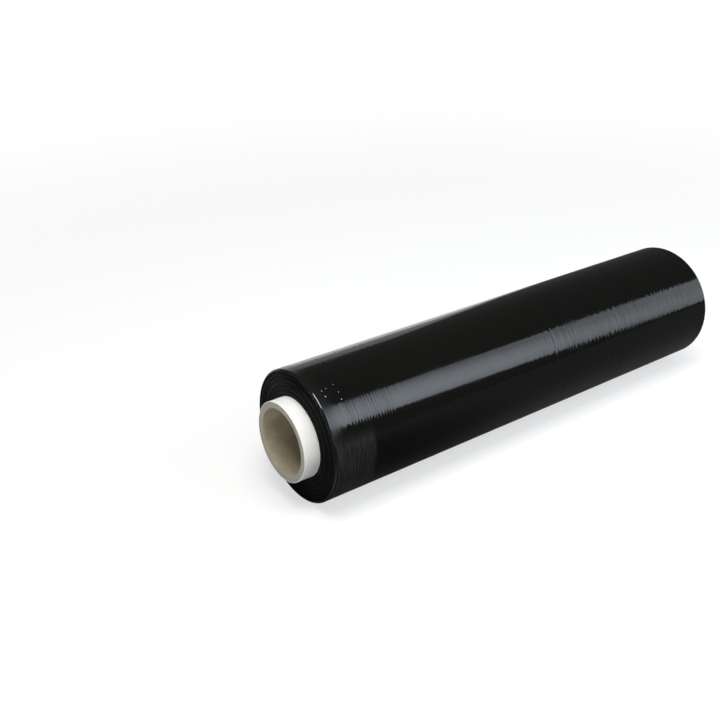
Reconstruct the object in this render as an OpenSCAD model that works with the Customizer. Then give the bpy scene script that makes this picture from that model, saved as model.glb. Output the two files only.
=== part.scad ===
// Stretch wrap roll: one long web of glossy black film wound on a paperboard tube, whose two ends
// stand proud of the film and are what the hands hold. The roll lies on its side on the flat spot
// that its own weight presses into the soft film. Millimetres, +X along the roll and +Z up, with
// the origin at the middle of the flat spot.

/* [Film] */
// Width of the web, which is the length of the wound film
film_w = 400; // [250:10:500]
// Outside diameter of the wound film
film_d = 100; // [84:1:140]
// Width of the flat spot that the roll lies on
flat_w = 14; // [6:0.5:20]
// Radius at which the outermost turns round off at each rim
rim_r = 1.6; // [0.5:0.1:3]

/* [Turns] */
// Bands of turns that show as rings on each end of the film
bands = 15; // [6:1:20]
// Sideways wander of the web between one band and another
wander = 0.7; // [0.1:0.1:1.2]
// Depth of the crease between two bands
crease = 0.25; // [0.1:0.05:0.4]

/* [Core] */
// Bore through the paperboard tube
core_bore = 50; // [38:1:52]
// Wall of the paperboard tube, under its cover ply
board_wall = 4.6; // [3:0.2:6]
// Thickness of the white cover ply wound over the board
cover_t = 0.4; // [0.2:0.1:0.8]
// How far the core stands out of the film at each end
core_proud = 12.5; // [6:0.5:40]
// Chamfer that the saw's deburring leaves round each mouth of the bore
bore_chamfer = 0.5; // [0.2:0.1:1]

/* [Hidden] */

film_r = film_d / 2;
bore_r = core_bore / 2;
board_r = bore_r + board_wall;
core_r = board_r + cover_t;
core_len = film_w + 2 * core_proud;

// The flat spot is a chord of the film's circle, so the axis sits a little under one radius up
axis_z = sqrt(pow(film_r, 2) - pow(flat_w / 2, 2));

// Bands of turns fill the end from the core to where the rim starts to round off
band_w = (film_r - rim_r - core_r) / bands;
crease_w = band_w / 4;
wander_turn = 137.5; // degrees from one band to the next, so that no run of bands repeats
rim_steps = 8; // chords in each rounded rim
fine = 160; // segments round the roll

function band_r(i) = core_r + i * band_w;

// The web keeps its width, so a band that stands out at one end is sunk in by as much at the other
function band_shift(i) = wander / 2 * sin(i * wander_turn);

// One band at one end, without its creases. end is 1 at +X and -1 at -X.
function band_edge(i, end) = [
    [band_r(i) + crease_w, end * film_w / 2 + band_shift(i)],
    [band_r(i + 1) - crease_w, end * film_w / 2 + band_shift(i)]
];

// Bottom of the crease outside a band, halfway between the places of the two bands that share it
function crease_edge(i, end) = [
    [band_r(i + 1), end * (film_w / 2 - crease) + (band_shift(i) + band_shift(i + 1)) / 2]
];

// The innermost turns dip in where they start on the core
function core_edge(end) = [
    [core_r, end * (film_w / 2 - crease) + band_shift(0)]
];

// The outermost turns, rounded off over a quarter circle into the roll's flank. The quarter circle's
// first chord is left out, because the last crease opens straight onto its second.
function rim_edge(end) = [
    for (step = [1:rim_steps])
        let (a = 90 - 90 * step / rim_steps)
        [film_r - rim_r + rim_r * cos(a), end * (film_w / 2 - rim_r + rim_r * sin(a)) + band_shift(bands)]
];

// All of one end, from the core out to the flank
function end_edge(end) = concat(
    core_edge(end),
    [for (i = [0:bands - 1]) each concat(band_edge(i, end), crease_edge(i, end))],
    rim_edge(end)
);

function reversed(points) = [for (i = [len(points) - 1:-1:0]) points[i]];

// Turns a profile of (radius, place along the roll) about the roll's own axis
module wound(points) {
    translate([0, 0, axis_z])
        rotate([0, 90, 0])
            rotate_extrude($fn = fine)
                polygon(points);
}

// The film's turns as one solid, open for the core, with the flat spot that it lies on
module film_roll() {
    color("#15161a")
        difference() {
            wound(concat(end_edge(1), reversed(end_edge(-1))));
            translate([-core_len / 2, -film_r, -film_r])
                cube([core_len, film_d, film_r]);
        }
}

// Paperboard tube, wound and sawn to length, its bore chamfered at both mouths
module core_tube() {
    mouth_r = bore_r + bore_chamfer;
    wall_end = core_len / 2 - bore_chamfer;
    color("#b9ab90")
        wound([
            [bore_r, -wall_end], [mouth_r, -core_len / 2], [board_r, -core_len / 2],
            [board_r, core_len / 2], [mouth_r, core_len / 2], [bore_r, wall_end]
        ]);
}

// White ply over the board, from end to end, which the film is wound on
module core_cover() {
    color("#f1f0ea")
        wound([
            [board_r, -core_len / 2], [core_r, -core_len / 2],
            [core_r, core_len / 2], [board_r, core_len / 2]
        ]);
}

film_roll();
core_tube();
core_cover();
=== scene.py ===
from math import pi, sqrt

import bpy
import numpy as np
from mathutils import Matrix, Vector


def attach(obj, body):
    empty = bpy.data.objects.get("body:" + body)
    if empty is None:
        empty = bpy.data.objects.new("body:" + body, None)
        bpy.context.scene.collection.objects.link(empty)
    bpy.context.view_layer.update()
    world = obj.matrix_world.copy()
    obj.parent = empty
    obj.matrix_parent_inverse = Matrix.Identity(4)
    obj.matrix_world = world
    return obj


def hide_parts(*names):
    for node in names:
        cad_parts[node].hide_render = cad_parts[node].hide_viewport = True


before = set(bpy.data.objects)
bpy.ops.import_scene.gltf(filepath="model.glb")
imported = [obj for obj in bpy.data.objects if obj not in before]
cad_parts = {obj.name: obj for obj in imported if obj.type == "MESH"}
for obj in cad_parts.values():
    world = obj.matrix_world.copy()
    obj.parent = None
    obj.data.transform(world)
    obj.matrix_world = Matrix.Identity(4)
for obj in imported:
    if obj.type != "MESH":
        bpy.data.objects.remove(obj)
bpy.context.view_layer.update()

body = "root"

# The roll's own sizes, in metres, from which every piece below is worked out
roll = {
    "filmWidth": 0.400,
    "filmRadius": 0.050,
    "flatWidth": 0.014,      # the flat spot that the roll lies on
    "rimRadius": 0.0016,     # rounding of the outermost turns at each rim
    "coreRadius": 0.030,     # outside of the white cover ply
    "boardRadius": 0.0296,   # outside of the board under it
    "boreRadius": 0.025,
    "corePast": 0.0125,      # how far the core stands out of the film at each end
    "boreChamfer": 0.0005,
}
coreHalf = roll["filmWidth"] / 2 + roll["corePast"]
axisHeight = sqrt(roll["filmRadius"] ** 2 - (roll["flatWidth"] / 2) ** 2)
print("stage: frame read, axis height", round(axisHeight, 5))


# Shader maths

class Wire:  # a node tree and one of its output sockets, which takes arithmetic
    def __init__(self, tree, socket=None):
        self.tree = tree
        self.socket = socket

    # Any node: its type, its settings, which are set first, and the values or links of its sockets
    def node(self, kind, settings=None, inputs=None, out=0):
        made = self.tree.nodes.new(kind)
        for name, value in (settings or {}).items():
            setattr(made, name, value)
        for key, value in (inputs or {}).items():
            if isinstance(value, Wire):
                self.tree.links.new(value.socket, made.inputs[key])
            else:
                made.inputs[key].default_value = value
        return Wire(self.tree, made.outputs[out]) if len(made.outputs) else None

    def calc(self, operation, first, second=0.0):
        return self.node("ShaderNodeMath", {"operation": operation}, {0: first, 1: second})

    def __add__(self, other):
        return self.calc("ADD", self, other)

    def __radd__(self, other):
        return self.calc("ADD", other, self)

    def __sub__(self, other):
        return self.calc("SUBTRACT", self, other)

    def __rsub__(self, other):
        return self.calc("SUBTRACT", other, self)

    def __mul__(self, other):
        return self.calc("MULTIPLY", self, other)

    def __rmul__(self, other):
        return self.calc("MULTIPLY", other, self)

    def __truediv__(self, other):
        return self.calc("DIVIDE", self, other)

    def __rtruediv__(self, other):
        return self.calc("DIVIDE", other, self)

    def __abs__(self):
        return self.calc("ABSOLUTE", self)

    def step(self, low, high):  # 0 below low, 1 above high, smooth between
        return self.node("ShaderNodeMapRange", {"interpolation_type": "SMOOTHSTEP"},
                         {"Value": self, "From Min": low, "From Max": high})

    def mix(self, share, first, second, clamp=True):  # the first colour at share 0, the second at 1
        pair = [colour if isinstance(colour, Wire) else (*colour, 1) for colour in (first, second)]
        return self.node("ShaderNodeMix", {"data_type": "RGBA", "clamp_factor": clamp},
                         {"Factor": share, 6: pair[0], 7: pair[1]}, out=2)


def newMaterial(name):
    material = bpy.data.materials.new(name)
    material.use_nodes = True
    material.node_tree.nodes.clear()
    return material, Wire(material.node_tree)


def finishMaterial(start, shader):
    start.node("ShaderNodeOutputMaterial", inputs={"Surface": shader})


def splitPlace(start):  # the place on the piece, and its x, y and z
    place = start.node("ShaderNodeTexCoord", out="Object")
    parts = [start.node("ShaderNodeSeparateXYZ", inputs={"Vector": place}, out=i) for i in range(3)]
    return place, parts


def axisDistance(start, y, z):  # how far a place lies from the roll's axis
    across = start.node("ShaderNodeCombineXYZ", inputs={"X": 0.0, "Y": y, "Z": z - axisHeight})
    return start.node("ShaderNodeVectorMath", {"operation": "LENGTH"}, {0: across}, out="Value")


def noise(start, place, grain):  # grain is its scale per metre, detail, roughness, and stretch by axis
    scale, detail, roughness, stretch = grain
    mapped = start.node("ShaderNodeMapping", inputs={"Vector": place, "Scale": stretch})
    return start.node("ShaderNodeTexNoise", {"noise_dimensions": "3D"},
                      {"Vector": mapped, "Scale": scale, "Detail": detail, "Roughness": roughness})


def bumped(start, height, strength=1.0, distance=1.0):
    return start.node("ShaderNodeBump", inputs={"Strength": strength, "Distance": distance, "Height": height})


# Meshes: a closed grid, whose rows run round the roll and whose columns run along a profile

# points[i, j] is the place at angle i and profile step j. The face (i, j) joins (i, j), (i, j + 1),
# (i + 1, j + 1) and (i + 1, j), and both counts start again at 0 past their ends, so nothing is open.
def gridMesh(name, points, materials, materialOf=None):
    rounds, steps = points.shape[:2]
    i, j = np.meshgrid(np.arange(rounds), np.arange(steps), indexing="ij")
    nextI, nextJ = (i + 1) % rounds, (j + 1) % steps
    corners = np.stack([i * steps + j, i * steps + nextJ, nextI * steps + nextJ, nextI * steps + j], -1)
    corners = corners.reshape(-1, 4)
    mesh = bpy.data.meshes.new(name)
    mesh.vertices.add(rounds * steps)
    mesh.vertices.foreach_set("co", points.reshape(-1).astype(np.float32))
    mesh.loops.add(corners.size)
    mesh.loops.foreach_set("vertex_index", corners.reshape(-1).astype(np.int32))
    mesh.polygons.add(len(corners))
    mesh.polygons.foreach_set("loop_start", np.arange(0, corners.size, 4, dtype=np.int32))
    mesh.polygons.foreach_set("use_smooth", np.ones(len(corners), dtype=bool))
    for material in materials:
        mesh.materials.append(material)
    if materialOf is not None:
        mesh.polygons.foreach_set("material_index", np.tile(materialOf, rounds).astype(np.int32))
    mesh.update(calc_edges=True)
    mesh.validate()
    return addObject(name, mesh)


def addObject(name, data):
    made = bpy.data.objects.new(name, data)
    bpy.context.scene.collection.objects.link(made)
    return made


# A profile of radius and place along the roll, repeated at even angles: three arrays, [angle, profile step]
def aroundAxis(radius, along, rounds):
    angles = np.linspace(0, 2 * pi, rounds, endpoint=False)
    angles, radius = np.meshgrid(angles, radius, indexing="ij")
    return angles, radius, np.tile(along, (rounds, 1))


# Angle 0 points up. x is the place along the roll, y the radius times the sine of the angle, and z the
# height of the axis plus the radius times the cosine of the angle.
def turned(angles, radius, along):
    return np.stack([along, radius * np.sin(angles), axisHeight + radius * np.cos(angles)], -1)


# Smooth random waves along one direction: the sum of nine sines, each with a random phase, whose lengths go
# evenly from 0.6 to 1.5 times the length given. The last line brings it to about -1 to 1.
def waves(along, length, seed, drift=0.0):
    draw = np.random.default_rng(seed)
    total = np.zeros_like(along)
    parts = 9
    for part in range(parts):
        stretch = length * (0.6 + 0.9 * part / (parts - 1))
        total += np.sin(2 * pi * (along + drift) / stretch + draw.uniform(0, 2 * pi))
    return total / sqrt(parts / 2) / 1.6


# Smooth random waves round the roll, which close on themselves: the sum of sines with 1, 2, 3 and up to the
# highest count of waves in a turn, each with a random height over the root of its count, and a random phase.
# The last line brings it to about -1 to 1.
def ringWaves(angles, seed, highest):
    draw = np.random.default_rng(seed)
    total = np.zeros_like(angles)
    for count in range(1, highest + 1):
        total += draw.normal() / sqrt(count) * np.sin(count * angles + draw.uniform(0, 2 * pi))
    return total / 1.8


# Film

# Depths and places are in metres. A pair of places, such as nearFrom, says where a share sets in and where
# it is complete. "near" is the stretch of tight hairlines beside the near end, "folds" the one past the
# middle, "far" the one beside the far end, and "all" is added all over. A pattern, such as hairs, is its
# scale per metre, detail, roughness, and stretch by axis, and its Shows pair turns it into a share.
filmLook = {
    "colour": (0.0032, 0.0031, 0.0026),
    "haze": (0.0085, 0.0090, 0.0092),      # streaks in which the outer turn is a little cloudy
    "roughness": 0.075,
    "cloudRoughness": 0.10,  # what broad dull patches add
    "streakRoughness": 0.06,
    "index": 1.50,
    "shine": 0.40,           # specular level of the flank
    "nearFrom": (-0.188, -0.178),
    "nearTo": (-0.152, -0.140),
    "foldsFrom": (-0.03, 0.03),
    "farFrom": (0.095, 0.135),
    "hairs": (1900, 1.0, 0.5, (1, 0.03, 0.03)),       # fine hairlines that run round the flank
    "hairsShow": (0.40, 0.66),
    "hairDepth": {"near": 0.000030, "folds": 0.000010, "far": 0.000012, "all": 0.000003},
    "hairDull": {"near": 0.10, "folds": 0.05, "far": 0.05, "all": 0.03},   # how far they lose their shine
    "folds": (240, 2.0, 0.55, (1, 0.07, 0.07)),       # broader folds
    "foldsShow": (0.45, 0.70),
    "foldSlant": 0.10,
    "foldDepth": {"near": 0.000060, "folds": 0.000180, "far": 0.000065, "all": 0.000012},
    "foldDull": {"near": 0.07, "folds": 0.16, "far": 0.06, "all": 0.02},
    "spacing": (120, 2.0, 0.5, (1, 0.10, 0.10)),      # where the even hoops crowd and spread
    "comb": {"perMetre": 400, "drift": 10.0, "depth": 0.000021, "dull": 0.16},      # the near stretch's hoops
    "farComb": {"perMetre": 285, "drift": 22.0, "depth": 0.000010, "dull": 0.11},   # the far half's
    "cloud": (22, 3.0, 0.55, (1, 0.5, 0.5)),          # broad patches
    "cloudShows": (0.45, 0.8),
    "tailAngle": 2.35,       # where the web's loose end clings on the far side, from the top
    "tailDepth": 0.000035,
    "tailDrift": 0.01,       # how far that end wavers
    "tailFade": 0.5,
    "paintedReflection": (0.032, 0.032, 0.031),   # a painted reflection: a faintly greyed stretch, low on the front beside the near end
    "paintedReflectionEnd": (-0.168, -0.165),     # where it fades, along the roll, upwards and towards the back
    "paintedReflectionTop": (0.060, 0.072),
    "paintedReflectionBack": (-0.02, 0.0),
    "paintedReflectionShows": (0.10, 0.90),
    "rimHaze": 0.21,         # how much duller the flank is right beside its near rim
    "rimHazeEnd": (-0.199, -0.184),
    "rimRoughness": 0.085,   # of the outermost turns, drawn tight round each rim
    "rimHairs": 0.05,
    "rimShine": 0.85,
    "edgeColour": (0.0036, 0.0036, 0.0037),   # of the wound ends, which are the cut edges of the web
    "edgeRoughness": 0.34,
    "edgeShine": 0.09,
    "turnsPerMetre": 2600.0,          # fine edges of single turns
    "turnsDetail": 2.0,
    "turnsDepth": 0.00006,
    "turnsRoughness": 0.16,
    "leanDepth": 0.0007,     # how far the turns next to the rim lean back from the rest of the end
    "leanWidth": 0.0034,
}


def stretches(x):  # shares of the flank that belong to each stretch
    near = x.step(*filmLook["nearFrom"]) * (1 - x.step(*filmLook["nearTo"]))
    far = x.step(*filmLook["farFrom"])
    return {"near": near, "folds": x.step(*filmLook["foldsFrom"]) * (1 - far), "far": far}


def alongFlank(shares, amounts):  # one amount for each place along the flank
    return sum((share * amounts[name] for name, share in shares.items()), 0.0) + amounts["all"]


def combWave(start, x, spacing, comb):  # even hoops, from -1 to 1
    return start.calc("SINE", x * (2 * pi * comb["perMetre"]) + spacing * comb["drift"])


def filmMaterial():
    look = filmLook
    comb, farComb = look["comb"], look["farComb"]
    material, start = newMaterial("filmGloss")
    place, (x, y, z) = splitPlace(start)
    shares = stretches(x)
    farHalf = shares["folds"] + shares["far"]
    slanted = start.node("ShaderNodeCombineXYZ", inputs={"X": x + z * look["foldSlant"], "Y": y, "Z": z})
    hairs = noise(start, place, look["hairs"])
    folds = noise(start, slanted, look["folds"])
    cloud = noise(start, place, look["cloud"])
    spacing = noise(start, slanted, look["spacing"])
    hoops = combWave(start, x, spacing, comb)
    farHoops = combWave(start, x, spacing, farComb)

    height = hairs * alongFlank(shares, look["hairDepth"]) + folds * alongFlank(shares, look["foldDepth"])
    height = height + hoops * shares["near"] * comb["depth"] + farHoops * farHalf * farComb["depth"]
    pastTail = start.calc("ARCTAN2", y, z - axisHeight) - look["tailAngle"] + cloud * look["tailDrift"]
    tail = (1 - pastTail.step(0.0, look["tailFade"])) * start.calc("GREATER_THAN", pastTail, 0.0)
    height = height + tail * look["tailDepth"]

    streaks = hairs.step(*look["hairsShow"]) * alongFlank(shares, look["hairDull"])
    streaks = streaks + hoops.step(0.0, 1.0) * shares["near"] * comb["dull"]
    streaks = streaks + farHoops.step(0.0, 1.0) * farHalf * farComb["dull"]
    streaks = streaks + folds.step(*look["foldsShow"]) * alongFlank(shares, look["foldDull"])
    # Painted reflection: the flank's colour goes faintly grey, low on the front beside the near end
    low = (1 - x.step(*look["paintedReflectionEnd"])) * (1 - z.step(*look["paintedReflectionTop"])) * (1 - y.step(*look["paintedReflectionBack"]))
    colour = start.mix(streaks, look["colour"], look["haze"])
    colour = start.mix(low * hairs.step(*look["paintedReflectionShows"]), colour, look["paintedReflection"])
    rough = look["roughness"] + cloud.step(*look["cloudShows"]) * look["cloudRoughness"]
    rough = rough + streaks * look["streakRoughness"]
    rough = rough + (1 - x.step(*look["rimHazeEnd"])) * look["rimHaze"]
    shader = start.node("ShaderNodeBsdfPrincipled", inputs={
        "Base Color": colour, "Roughness": rough, "Metallic": streaks, "IOR": look["index"],
        "Specular IOR Level": look["shine"], "Normal": bumped(start, height)})
    finishMaterial(start, shader)
    return material


def filmRimMaterial():
    look = filmLook
    material, start = newMaterial("filmRim")
    place, (x, y, z) = splitPlace(start)
    rough = look["rimRoughness"] + noise(start, place, look["hairs"]) * look["rimHairs"]
    shader = start.node("ShaderNodeBsdfPrincipled", inputs={
        "Base Color": (*look["colour"], 1), "Roughness": rough, "IOR": look["index"],
        "Specular IOR Level": look["rimShine"]})
    finishMaterial(start, shader)
    return material


def filmEdgeMaterial():
    look = filmLook
    material, start = newMaterial("filmEdge")
    place, (x, y, z) = splitPlace(start)
    radius = axisDistance(start, y, z)
    turns = start.node("ShaderNodeTexNoise", {"noise_dimensions": "1D"}, {
        "W": radius, "Scale": look["turnsPerMetre"], "Detail": look["turnsDetail"]})
    leanFrom = roll["filmRadius"] - roll["rimRadius"] - look["leanWidth"]
    lean = start.calc("MAXIMUM", (radius - leanFrom) / look["leanWidth"], 0.0)
    height = turns * look["turnsDepth"] - lean * lean * look["leanDepth"]
    rough = look["edgeRoughness"] + turns * look["turnsRoughness"]
    shader = start.node("ShaderNodeBsdfPrincipled", inputs={
        "Base Color": (*look["edgeColour"], 1), "Roughness": rough, "IOR": look["index"],
        "Specular IOR Level": look["edgeShine"], "Normal": bumped(start, height)})
    finishMaterial(start, shader)
    return material


filmShape = {
    "rounds": 90,            # grid steps round the roll
    "flankSteps": 830,       # and along its flank
    "bandSteps": 8,          # and across each band of turns
    "rimSteps": 12,
    "coreSteps": 2,          # and along its inside, on the core
    "bands": 15,             # bands of turns, as in the solid
    "wander": 0.0007,
    "wanderTurn": 137.5,
    "crease": 0.00025,
    "turnDepth": 0.00006,    # lesser turn edges between the creases
    "turnLength": 0.42,      # their length, as a share of a band
    "endDrift": 0.00012,     # how far the web's edge drifts in and out round each end
    "endTwist": 420,         # radians by which that turns on, per metre of radius
    "endFade": (0.004, 0.002),   # over which that fades, at the rim and at the core
    "flankFade": 0.004,      # over which the flank's waviness fades beside each rim
    "flankStart": 0.001,     # how far out from the core it starts
    "hoopLength": 0.0052,    # hoops that the tight outer turn draws round the flank
    "hoopDepth": 0.000034,
    "hoopSlant": 0.0016,
    "hoopRound": (0.7, 0.5, 12),   # their strength round the roll: even, uneven, and its twist per metre
    "hoopPlaces": [-0.20, -0.15, -0.11, -0.03, 0.03, 0.10, 0.20],
    "hoopShares": [0.5, 0.5, 0.12, 0.12, 1.0, 1.0, 0.6],   # how strong they are at those places
    "swellLength": 0.030,    # slow changes of the film's gauge across the web
    "swellDepth": 0.000030,
    "swellMix": (0.6, 0.4, 9),     # along the roll, round it, and its twist per metre
    "flankInset": 0.000118,  # which keeps the waviness inside the film's diameter
    "flatSoftness": 0.0002,  # how gently the flank runs into its flat spot
    # Seeds of the random waves, with the highest count in a turn for those that run round the roll
    "turnSeed": 5,
    "slantSeed": (21, 4),
    "hoopSeed": 41,
    "hoopRoundSeed": (33, 3),
    "swellSeed": 43,
    "swellRoundSeed": (45, 3),
}


def bandShift(index):  # how far a band of turns wandered sideways
    return filmShape["wander"] / 2 * np.sin(np.radians(index * filmShape["wanderTurn"]))


# Profile of one wound end from the core to the flank, as radius and place along the roll. The radius goes
# up in even steps. The place is half the film's width, with the band's own shift, less the crease's depth
# times the 1.5th power of how deep the step lies in a crease, and less the lesser turn edges. Over the
# quarter of a band beside a crease, the shift goes halfway to the neighbouring band's. The rim is a quarter
# circle.
def filmEnd(end):
    shape = filmShape
    bandWidth = (roll["filmRadius"] - roll["rimRadius"] - roll["coreRadius"]) / shape["bands"]
    steps = np.arange(shape["bands"] * shape["bandSteps"]) / shape["bandSteps"]
    band, part = np.floor(steps), steps % 1
    radius = roll["coreRadius"] + steps * bandWidth
    fall = np.clip(1 - np.minimum(part, 1 - part) * 4, 0, 1)  # 1 in a crease, 0 on a band's crown
    neighbour = np.where(part < 0.25, band - 1, np.where(part > 0.75, band + 1, band))
    share = np.where(part < 0.25, 0.5 - part * 2, np.where(part > 0.75, part * 2 - 1.5, 0))
    shift = bandShift(band) * (1 - share) + bandShift(np.clip(neighbour, 0, shape["bands"])) * share
    edges = 0.5 + 0.5 * waves(radius, bandWidth * shape["turnLength"], shape["turnSeed"])
    inward = shape["crease"] * fall ** 1.5 + shape["turnDepth"] * edges
    along = end * (roll["filmWidth"] / 2 - inward) + shift
    rim = roll["rimRadius"]
    rise = np.radians(np.linspace(90, 0, shape["rimSteps"]))
    rimRadius = roll["filmRadius"] - rim + rim * np.cos(rise)
    rimAlong = end * (roll["filmWidth"] / 2 - rim + rim * np.sin(rise)) + bandShift(shape["bands"])
    return np.concatenate([radius, rimRadius]), np.concatenate([along, rimAlong])


# One closed profile, turned about the axis: near end, flank, far end, and back along the core. The ends
# move in and out by a sine of twice the angle, which turns on with the radius. The flank moves in and out
# by hoops, which are random waves along the roll times random waves round it, and by swells, which are the
# sum of both kinds. All of them fade out towards the rims.
def makeFilm():
    shape = filmShape
    nearRadius, nearAlong = filmEnd(-1)
    farRadius, farAlong = filmEnd(1)
    flankAlong = np.linspace(nearAlong[-1], farAlong[-1], shape["flankSteps"] + 2)[1:-1]
    coreAlong = np.linspace(farAlong[0], nearAlong[0], shape["coreSteps"] + 2)[1:-1]
    radius = np.concatenate([nearRadius, np.full(len(flankAlong), roll["filmRadius"]), farRadius[::-1],
                             np.full(len(coreAlong), roll["coreRadius"])])
    along = np.concatenate([nearAlong, flankAlong, farAlong[::-1], coreAlong])
    angles, radius, along = aroundAxis(radius, along, shape["rounds"])

    rimFade, coreFade = shape["endFade"]
    endShare = np.clip((roll["filmRadius"] - radius) / rimFade, 0, 1)
    endShare = endShare * np.clip((radius - roll["coreRadius"]) / coreFade, 0, 1)
    along = along + shape["endDrift"] * endShare * np.sin(angles * 2 + radius * shape["endTwist"])

    flankShare = np.clip((roll["filmWidth"] / 2 - np.abs(along)) / shape["flankFade"], 0, 1)
    flankShare = flankShare * (radius > roll["coreRadius"] + shape["flankStart"])
    slant = shape["hoopSlant"] * ringWaves(angles, *shape["slantSeed"])
    even, uneven, twist = shape["hoopRound"]
    hoopShare = np.interp(along, shape["hoopPlaces"], shape["hoopShares"])
    hoopShare = hoopShare * (even + uneven * ringWaves(angles + along * twist, *shape["hoopRoundSeed"]))
    hoops = waves(along, shape["hoopLength"], shape["hoopSeed"], slant) * hoopShare
    lengthways, crossways, twist = shape["swellMix"]
    swell = waves(along, shape["swellLength"], shape["swellSeed"]) * lengthways
    swell = swell + crossways * ringWaves(angles + along * twist, *shape["swellRoundSeed"])
    waviness = shape["hoopDepth"] * hoops + shape["swellDepth"] * swell
    radius = radius + flankShare * (waviness - shape["flankInset"])
    points = turned(angles, radius, along)

    # The flat spot: what comes close to the floor, or would lie under it, eases into it by an exponential
    soft = shape["flatSoftness"]
    height = points[..., 2]
    height = np.where(height < soft, soft * np.exp(np.minimum(height / soft - 1, 0)), height)
    points[..., 2] = np.where(height < soft * 0.6, 0.0, height)

    # The flank takes the first material, the wound ends and the inside the second, the rims the third
    flankStart, flankEnd = len(nearRadius), len(nearRadius) + len(flankAlong)
    materialOf = np.ones(points.shape[1], dtype=int)
    materialOf[flankStart - shape["rimSteps"]:flankEnd + shape["rimSteps"]] = 2
    materialOf[flankStart - 1:flankEnd] = 0
    film = gridMesh("filmRoll", points, [filmMaterial(), filmEdgeMaterial(), filmRimMaterial()], materialOf)
    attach(film, body)
    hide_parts("film_roll")
    return film


airLookPaintedGlint = {
    # The pale grey is partly the silvery look of trapped air and partly a painted highlight, standing in for
    # the bubbles' glints
    "colour": (0.30, 0.31, 0.33),
    "roughness": 0.25,
    "grain": (2500, 2.0, 0.6, (1, 1, 1)),
    "grainRoughness": 0.1,
    "shine": 0.8,
    "depth": 0.00012,        # how far a bubble stands out of the flank
    "rings": 7,
    "spokes": 14,
    # Place along the roll, angle from the top towards the front, and half width, along and round
    "bubbles": [(-0.1926, 0.465, 0.00032, 0.00040), (-0.1888, 0.449, 0.00030, 0.00036),
                (-0.1923, 0.562, 0.00052, 0.00062), (-0.1820, 0.428, 0.00022, 0.00030),
                (-0.1817, 0.564, 0.00028, 0.00040), (-0.1824, 0.674, 0.00044, 0.00052)],
}


def airPaintedGlintMaterial():
    look = airLookPaintedGlint
    material, start = newMaterial("trappedAirPaintedGlint")
    place = start.node("ShaderNodeTexCoord", out="Object")
    rough = look["roughness"] + noise(start, place, look["grain"]) * look["grainRoughness"]
    # Its pale base colour is partly a painted highlight
    finishMaterial(start, start.node("ShaderNodeBsdfPrincipled", inputs={
        "Base Color": (*look["colour"], 1), "Roughness": rough, "IOR": filmLook["index"],
        "Specular IOR Level": look["shine"]}))
    return material


# Trapped air, as flattened balls half sunk in the flank. A ball's point is the sine of its polar angle times
# the cosine and the sine of its turn, and the cosine of its polar angle. The first goes along the roll, the
# second round it and the third outwards, each times the bubble's own size.
def makeBubbles():
    rings, spokes = airLookPaintedGlint["rings"], airLookPaintedGlint["spokes"]
    polar = np.linspace(0, pi, rings + 2)[1:-1]
    turn = np.linspace(0, 2 * pi, spokes, endpoint=False)
    polar, turn = np.meshgrid(polar, turn, indexing="ij")
    ball = np.stack([np.sin(polar) * np.cos(turn), np.sin(polar) * np.sin(turn), np.cos(polar)], -1)
    ball = np.concatenate([ball.reshape(-1, 3), [[0, 0, 1], [0, 0, -1]]])
    top, bottom = len(ball) - 2, len(ball) - 1
    row, spoke = np.meshgrid(np.arange(rings - 1), np.arange(spokes), indexing="ij")
    after = (spoke + 1) % spokes
    sides = np.stack([row * spokes + spoke, (row + 1) * spokes + spoke, (row + 1) * spokes + after,
                      row * spokes + after], -1).reshape(-1, 4)
    last = (rings - 1) * spokes
    pairs = [(spoke, (spoke + 1) % spokes) for spoke in range(spokes)]
    caps = [[top, here, there] for here, there in pairs]
    caps += [[bottom, last + there, last + here] for here, there in pairs]
    points, faces = [], []
    for along, angle, halfAlong, halfRound in airLookPaintedGlint["bubbles"]:
        first = len(points) * len(ball)
        radius = roll["filmRadius"] + airLookPaintedGlint["depth"] * ball[:, 2]
        angles = -angle + ball[:, 1] * halfRound / radius
        points.append(turned(angles, radius, along + ball[:, 0] * halfAlong))
        faces += (sides + first).tolist() + [[corner + first for corner in cap] for cap in caps]
    mesh = bpy.data.meshes.new("airBubbles")
    mesh.from_pydata(np.concatenate(points).tolist(), [], faces)
    mesh.polygons.foreach_set("use_smooth", np.ones(len(faces), dtype=bool))
    mesh.materials.append(airPaintedGlintMaterial())
    bubbles = addObject("airBubbles", mesh)
    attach(bubbles, body)


film = makeFilm()
makeBubbles()
print("stage: film wound,", len(film.data.polygons) * 2, "triangles")


# Core

jointLook = {
    "pitch": 0.118,          # how far along the core its plies go in one turn
    "width": 0.010,          # of the joint between two turns of a ply, as a share of a turn
}


def jointMask(start, x, y, z, phase):  # 1 on the helical joint, which the phase sets round by that many turns
    angle = start.calc("ARCTAN2", y, z - axisHeight)
    turn = start.calc("FRACT", angle / (2 * pi) + x / jointLook["pitch"] + phase)
    return 1 - abs(turn - 0.5).step(jointLook["width"] * 0.25, jointLook["width"])


boardLook = {
    "colour": (0.50, 0.445, 0.325),
    "dark": (0.39, 0.34, 0.24),
    "ring": (0.37, 0.365, 0.31),     # its sawn end
    "ringFrom": (0.0001, 0.0006),    # where that starts, past the bore
    "joint": (0.30, 0.26, 0.19),
    "jointShare": 0.35,
    "jointPhase": 5.21,
    "cloud": (70, 4.0, 0.6, (1, 1, 1)),
    "cloudShows": (0.35, 0.7),
    "fibre": (900, 3.0, 0.7, (1, 1, 1)),
    "roughness": 0.82,
    "fibreRoughness": 0.1,
    "index": 1.45,
    "shine": 0.35,
    "height": {"fibre": 0.6, "cloud": 0.4, "joint": 1.5},
    "bump": (0.8, 0.00012),  # strength, and depth in metres
}


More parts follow.
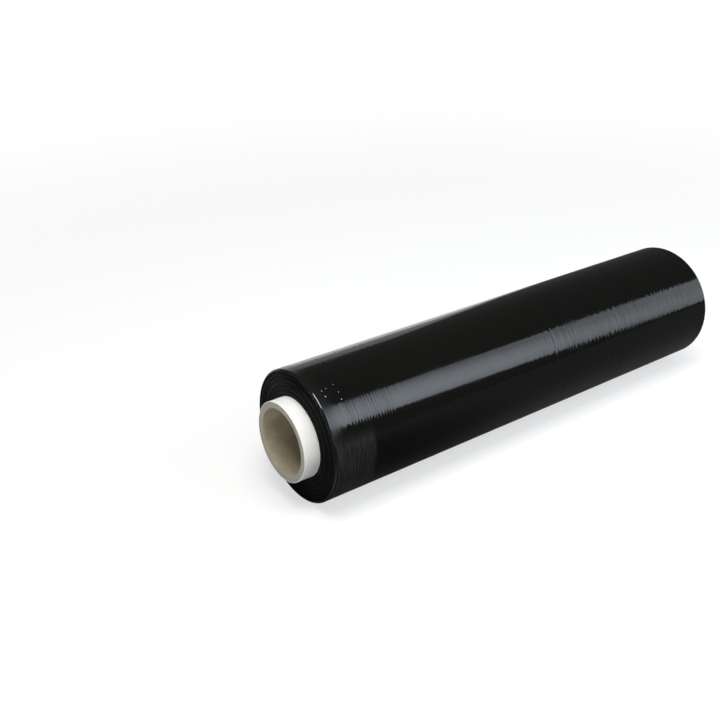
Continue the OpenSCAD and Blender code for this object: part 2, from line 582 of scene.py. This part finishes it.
def boardMaterial():
    look, heights = boardLook, boardLook["height"]
    material, start = newMaterial("coreBoard")
    place, (x, y, z) = splitPlace(start)
    cloud = noise(start, place, look["cloud"])
    fibre = noise(start, place, look["fibre"])
    joint = jointMask(start, x, y, z, look["jointPhase"])
    onRing = axisDistance(start, y, z).step(*(roll["boreRadius"] + past for past in look["ringFrom"]))
    colour = start.mix(cloud.step(*look["cloudShows"]), look["dark"], look["colour"])
    colour = start.mix(joint * look["jointShare"], colour, look["joint"])
    colour = start.mix(onRing, colour, look["ring"])
    height = fibre * heights["fibre"] + cloud * heights["cloud"] - joint * heights["joint"]
    shader = start.node("ShaderNodeBsdfPrincipled", inputs={
        "Base Color": colour, "Roughness": look["roughness"] - fibre * look["fibreRoughness"],
        "IOR": look["index"], "Specular IOR Level": look["shine"],
        "Normal": bumped(start, height, *look["bump"])})
    finishMaterial(start, shader)
    return material


coverLook = {
    "colour": (0.90, 0.895, 0.88),
    "shade": (0.84, 0.83, 0.80),
    "jointPhase": 0.35,
    "cloud": (60, 3.0, 0.5, (1, 1, 1)),
    "cloudShows": (0.4, 0.75),
    "fibre": (1400, 3.0, 0.7, (1, 1, 1)),
    "roughness": 0.62,
    "fibreRoughness": 0.12,
    "index": 1.47,
    "shine": 0.4,
    "height": {"fibre": 0.5, "joint": 1.2},
    "bump": (0.6, 0.00008),
}


def coverMaterial():
    look, heights = coverLook, coverLook["height"]
    material, start = newMaterial("coverPaper")
    place, (x, y, z) = splitPlace(start)
    cloud = noise(start, place, look["cloud"])
    fibre = noise(start, place, look["fibre"])
    joint = jointMask(start, x, y, z, look["jointPhase"])
    colour = start.mix(cloud.step(*look["cloudShows"]), look["colour"], look["shade"])
    height = fibre * heights["fibre"] - joint * heights["joint"]
    shader = start.node("ShaderNodeBsdfPrincipled", inputs={
        "Base Color": colour, "Roughness": look["roughness"] + fibre * look["fibreRoughness"],
        "IOR": look["index"], "Specular IOR Level": look["shine"],
        "Normal": bumped(start, height, *look["bump"])})
    finishMaterial(start, shader)
    return material


coreShape = {
    "rounds": 160,           # grid steps round the core
    "ringSteps": 40,         # and across its sawn end
    "alongSteps": 150,       # and along the side that shows
    "backSteps": 10,         # and along the side that is hidden
    "chamferSteps": 5,       # and round the edge of the bore
    "lipSteps": 4,           # and round the edge of the cover ply
    "lip": 0.00012,          # radius of that edge
    "plies": 9,
    "plyDepth": 0.00007,     # how far the saw leaves one ply proud of the next
    "plyMix": (0.5, 0.3, 0.2),   # the same all over, by the cosine, and by the random waves
    "plyFade": 0.0004,       # over which that fades, at the bore and at the cover
    "plySeed": (61, 7),
}


# One closed profile, turned about the axis: sawn end, rounded edge, bore, rounded edge, sawn end, and back
# outside. The sawn ends are lowered by a cosine of the radius, one wave to a ply, plus random waves, of which
# what lies between 0 and 1 counts.
def makeBoard():
    shape = coreShape
    bore, outer, cut = roll["boreRadius"], roll["boardRadius"], roll["boreChamfer"]
    ring = np.linspace(bore + cut, outer, shape["ringSteps"])
    chamfer = np.radians(np.linspace(0, 90, shape["chamferSteps"] + 1))[:-1]
    cutRadius, cutPast = bore + cut - cut * np.cos(chamfer), cut - cut * np.sin(chamfer)
    inside = np.linspace(-coreHalf + cut, coreHalf - cut, shape["alongSteps"] + 2)[1:-1]
    back = np.linspace(coreHalf, -coreHalf, shape["backSteps"] + 2)[1:-1]
    radius = np.concatenate([ring[::-1], cutRadius[::-1], np.full(len(inside), bore), cutRadius, ring,
                             np.full(len(back), outer)])
    along = np.concatenate([np.full(len(ring), -coreHalf), -coreHalf + cutPast[::-1], inside,
                            coreHalf - cutPast, np.full(len(ring), coreHalf), back])
    angles, radius, along = aroundAxis(radius, along, shape["rounds"])
    share = np.clip((radius - bore - cut) / shape["plyFade"], 0, 1)
    share = share * np.clip((outer - radius) / shape["plyFade"], 0, 1)
    share = share * (np.abs(along) > coreHalf - 0.0001)  # the sawn ends alone
    ply = (radius - bore) / (outer - bore) * shape["plies"]
    even, byPly, random = shape["plyMix"]
    rough = even + byPly * np.cos(2 * pi * ply) + random * ringWaves(angles + ply, *shape["plySeed"])
    along = along - np.sign(along) * share * shape["plyDepth"] * np.clip(rough, 0, 1)
    board = gridMesh("coreTube", turned(angles, radius, along)[:, ::-1], [boardMaterial()])
    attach(board, body)
    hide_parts("core_tube")
    return board


# One closed profile, turned about the axis: near edge, a quarter circle, the outside, a quarter circle, far
# edge, and back inside
def makeCover():
    shape = coreShape
    inner, outer, lip = roll["boardRadius"], roll["coreRadius"], coreShape["lip"]
    rise = np.radians(np.linspace(0, 90, shape["lipSteps"]))
    lipRadius, lipPast = outer - lip + lip * np.sin(rise), lip - lip * np.cos(rise)
    middle = np.linspace(-coreHalf + lip, coreHalf - lip, shape["alongSteps"] + 2)[1:-1]
    back = np.linspace(coreHalf, -coreHalf, shape["backSteps"] + 2)[1:-1]
    radius = np.concatenate([[inner], lipRadius, np.full(len(middle), outer), lipRadius[::-1], [inner],
                             np.full(len(back), inner)])
    along = np.concatenate([[-coreHalf], -coreHalf + lipPast, middle, coreHalf - lipPast[::-1], [coreHalf],
                            back])
    cover = gridMesh("coreCover", turned(*aroundAxis(radius, along, shape["rounds"])), [coverMaterial()])
    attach(cover, body)
    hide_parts("core_cover")
    return cover


board = makeBoard()
cover = makeCover()
print("stage: core made,", (len(board.data.polygons) + len(cover.data.polygons)) * 2, "triangles")


# Floor and background

# The floor looks darker in the black film than to the camera, and throws back less light beside the roll. A
# Change pair says where one value sets in and where it has taken over, along the roll, or outwards for glow.
backdrop = {
    "size": 14.0,
    "seen": (0.92, 0.92, 0.92),            # the floor to the camera
    "thrown": (0.16, 0.16, 0.16),          # how much light it throws back up beside the roll
    "thrownBefore": (0.90, 0.90, 0.90),    # and before the near end, which lights the inside of the core
    "thrownChange": (-0.27, -0.21),
    "mirroredNear": (0.006, 0.006, 0.006),   # what the film's near half mirrors of it
    "mirrored": (0.09, 0.09, 0.09),        # and its far half
    "mirroredChange": (-0.12, 0.06),
    # A paler strip across the floor, just before the near end, which the wound end mirrors, and which gains
    # strength towards the back
    "stripEdges": ((-0.30, -0.22), (-0.225, -0.205)),
    "stripSide": (0.04, 0.11),
    "stripShare": 0.6,
    "stripGain": 4.2,
    "white": 1.0,            # what the camera sees of the bare backdrop, 1 is white
    "nearGlow": 0.60,        # share of that white on the floor near the roll, where its shadow lies
    "glowChange": (0.30, 1.2),
    "glossShare": 0.04,      # share of that white that gloss and glass see
    # A patch of floor behind the roll that gloss sees in full white: its front, far and near edges
    "patchFront": (0.09, 0.17),
    "patchFar": (0.02, 0.14),
    "patchFarSlant": 0.72,
    "patchNear": (-0.19, -0.11),
    "patchNearSlant": 0.5,
    "room": (0.35, 0.35, 0.35),                # light from all round
    "roomMirrored": (0.076, 0.076, 0.076),     # what the film mirrors of it
    "roomMirroredFar": (0.042, 0.042, 0.042),  # and of what lies past the far end
    "roomChange": (0.50, 0.85),
}


def backdropShare(start, glossShare):  # 1 for the camera, and less for gloss and glass
    path = {name: start.node("ShaderNodeLightPath", out=name)
            for name in ("Is Camera Ray", "Is Glossy Ray", "Is Transmission Ray")}
    return path["Is Camera Ray"] + (path["Is Glossy Ray"] + path["Is Transmission Ray"]) * glossShare


def floorMaterial():
    look = backdrop
    material, start = newMaterial("paleFloor")
    place, (x, y, z) = splitPlace(start)
    camera = start.node("ShaderNodeLightPath", out="Is Camera Ray")
    gloss = start.node("ShaderNodeLightPath", out="Is Glossy Ray")

    patch = y.step(*look["patchFront"]) * (1 - (x - y * look["patchFarSlant"]).step(*look["patchFar"]))
    patch = patch * (x + y * look["patchNearSlant"]).step(*look["patchNear"])
    glossShare = patch * (1 - look["glossShare"]) + look["glossShare"]
    away = start.node("ShaderNodeVectorMath", {"operation": "LENGTH"}, {0: place}, out="Value")
    glow = away.step(*look["glowChange"]) * (1 - look["nearGlow"]) + look["nearGlow"]
    share = camera * glow + (1 - camera) * backdropShare(start, glossShare)

    stripStart, stripEnd = look["stripEdges"]
    strip = (1 - x.step(*stripEnd)) * x.step(*stripStart) * (look["stripShare"] + y.step(*look["stripSide"]))
    mirroredShare = x.step(*look["mirroredChange"]) + strip * look["stripGain"]
    mirrored = start.mix(mirroredShare, look["mirroredNear"], look["mirrored"], clamp=False)
    thrown = start.mix(1 - x.step(*look["thrownChange"]), look["thrown"], look["thrownBefore"])
    colour = start.mix(camera, start.mix(gloss, thrown, mirrored), look["seen"])
    bare = start.node("ShaderNodeBsdfDiffuse", inputs={"Color": colour})
    white = start.node("ShaderNodeEmission", inputs={"Color": (1, 1, 1, 1), "Strength": look["white"]})
    finishMaterial(start, start.node("ShaderNodeMixShader", inputs={0: share, 1: bare, 2: white}))
    return material


def makeFloor():
    half = backdrop["size"] / 2
    mesh = bpy.data.meshes.new("floor")
    corners = [(-half, -half, 0), (half, -half, 0), (half, half, 0), (-half, half, 0)]
    mesh.from_pydata(corners, [], [(0, 1, 2, 3)])
    mesh.materials.append(floorMaterial())
    floor = addObject("floor", mesh)


def makeWorld():
    look = backdrop
    world = bpy.data.worlds.new("studio")
    bpy.context.scene.world = world
    world.use_nodes = True
    world.node_tree.nodes.clear()
    start = Wire(world.node_tree)
    direction = start.node("ShaderNodeTexCoord", out="Generated")
    towardsFar = start.node("ShaderNodeSeparateXYZ", inputs={"Vector": direction}, out="X")
    gloss = start.node("ShaderNodeLightPath", out="Is Glossy Ray")
    mirrored = start.mix(towardsFar.step(*look["roomChange"]), look["roomMirrored"], look["roomMirroredFar"])
    light = start.mix(gloss, look["room"], mirrored)
    room = start.node("ShaderNodeBackground", inputs={"Color": light, "Strength": 1.0})
    white = start.node("ShaderNodeBackground", inputs={"Color": (1, 1, 1, 1), "Strength": look["white"]})
    share = backdropShare(start, look["glossShare"])
    both = start.node("ShaderNodeMixShader", inputs={0: share, 1: room, 2: white})
    start.node("ShaderNodeOutputWorld", inputs={"Surface": both})


makeFloor()
makeWorld()
print("stage: floor and background made")


# Lamps: soft panels, each with the way it faces and the way its long side runs

# Brightness of the two panels that aren't even, as a sum over the metres along and across from the middle
bandLight = {"middle": 0.918, "along": 0.72, "across": 1.049, "twist": 0.25, "ridge": 2.521, "least": 0.57}
edgeLight = {"slant": 2.35, "cut": (0.96, 1.12)}


def bandShade(along, across):  # brighter towards the near end, in a ridge along its middle, and never dark
    light = bandLight
    share = along * light["along"] + across * light["across"] - along * across * light["twist"]
    share = share - across * across * light["ridge"] + light["middle"]
    return share.calc("MAXIMUM", share, light["least"])


def edgeShade(along, across):  # cut off on a slant at its far top corner
    return 1 - (along * edgeLight["slant"] - across).step(*edgeLight["cut"])


lamps = {
    # The long soft box at the front right, whose reflection is the band along the flank
    "bandPanel": {"place": (1.254, -1.093, 0.713), "faces": (-0.408, 0.408, -0.816),
                  "longWay": (-0.894, 0.0, 0.447), "size": (1.95, 0.942), "radiance": 3.6,
                  "colour": (0.90, 0.99, 1.08), "shade": bandShade},
    # The panel that stands behind, which lights the upper edge from the near end
    "edgePanel": {"place": (0.45, 1.20, 0.30), "faces": (0, -1, 0), "longWay": (1, 0, 0),
                  "size": (1.15, 0.60), "radiance": 0.47, "colour": (0.93, 0.99, 1.09),
                  "shade": edgeShade},
    # The key, high over the near end, which lights the core and glints in the near rim
    "keyPanel": {"place": (-0.30, -0.30, 1.25), "faces": (0.10, 0.22, -0.97), "longWay": (1, 0, 0),
                 "size": (0.7, 0.55), "radiance": 10.9, "colour": (1.0, 0.99, 0.97)},
    # The fill, low at the front, out of sight of the flank
    "fillPanel": {"place": (-0.40, -1.45, 0.55), "faces": (0.12, 0.93, -0.30), "longWay": (1, 0, 0),
                  "size": (0.9, 0.9), "radiance": 0.64, "colour": (1.0, 1.0, 1.0)},
}


def makePanel(name, lamp):
    data = bpy.data.lights.new(name, "AREA")
    length, width = lamp["size"]
    data.shape, data.size, data.size_y = "RECTANGLE", length, width
    data.color = lamp["colour"]
    data.energy = lamp["radiance"] * length * width * pi
    panel = addObject(name, data)
    away = -Vector(lamp["faces"]).normalized()
    side = Vector(lamp["longWay"])
    side = (side - away * side.dot(away)).normalized()
    up = away.cross(side)
    turn = np.eye(4)
    turn[:3, 0], turn[:3, 1], turn[:3, 2], turn[:3, 3] = side, up, away, lamp["place"]
    panel.matrix_world = turn.T.tolist()
    panel.visible_camera = False
    if "shade" in lamp:
        data.use_nodes = True
        data.node_tree.nodes.clear()
        start = Wire(data.node_tree)
        where = start.node("ShaderNodeNewGeometry", out="Position")
        offset = start.node("ShaderNodeVectorMath", {"operation": "SUBTRACT"}, {0: where, 1: lamp["place"]})
        along, across = [start.node("ShaderNodeVectorMath", {"operation": "DOT_PRODUCT"}, {0: offset, 1: way},
                                    out="Value") for way in (side, up)]
        light = start.node("ShaderNodeEmission", inputs={
            "Color": (1, 1, 1, 1), "Strength": lamp["shade"](along, across)})
        start.node("ShaderNodeOutputLight", inputs={"Surface": light})


for name, lamp in lamps.items():
    makePanel(name, lamp)
print("stage: lamps set,", len(lamps))


# Camera

lens = {
    "place": (-0.50665, -0.49213, 0.41145),
    "looks": (0.52629, 0.71407, -0.46165),   # the way it looks
    "focal": 48.17,          # millimetres, as is the width of the sensor
    "sensor": 36.0,
    "clip": (0.01, 60),
}


def makeCamera():
    data = bpy.data.cameras.new("camera")
    data.sensor_width, data.lens = lens["sensor"], lens["focal"]
    data.clip_start, data.clip_end = lens["clip"]
    camera = addObject("camera", data)
    camera.location = lens["place"]
    camera.rotation_mode = "QUATERNION"
    camera.rotation_quaternion = Vector(lens["looks"]).to_track_quat("-Z", "Y")
    bpy.context.scene.camera = camera


makeCamera()
bpy.context.scene.view_settings.view_transform = "Standard"
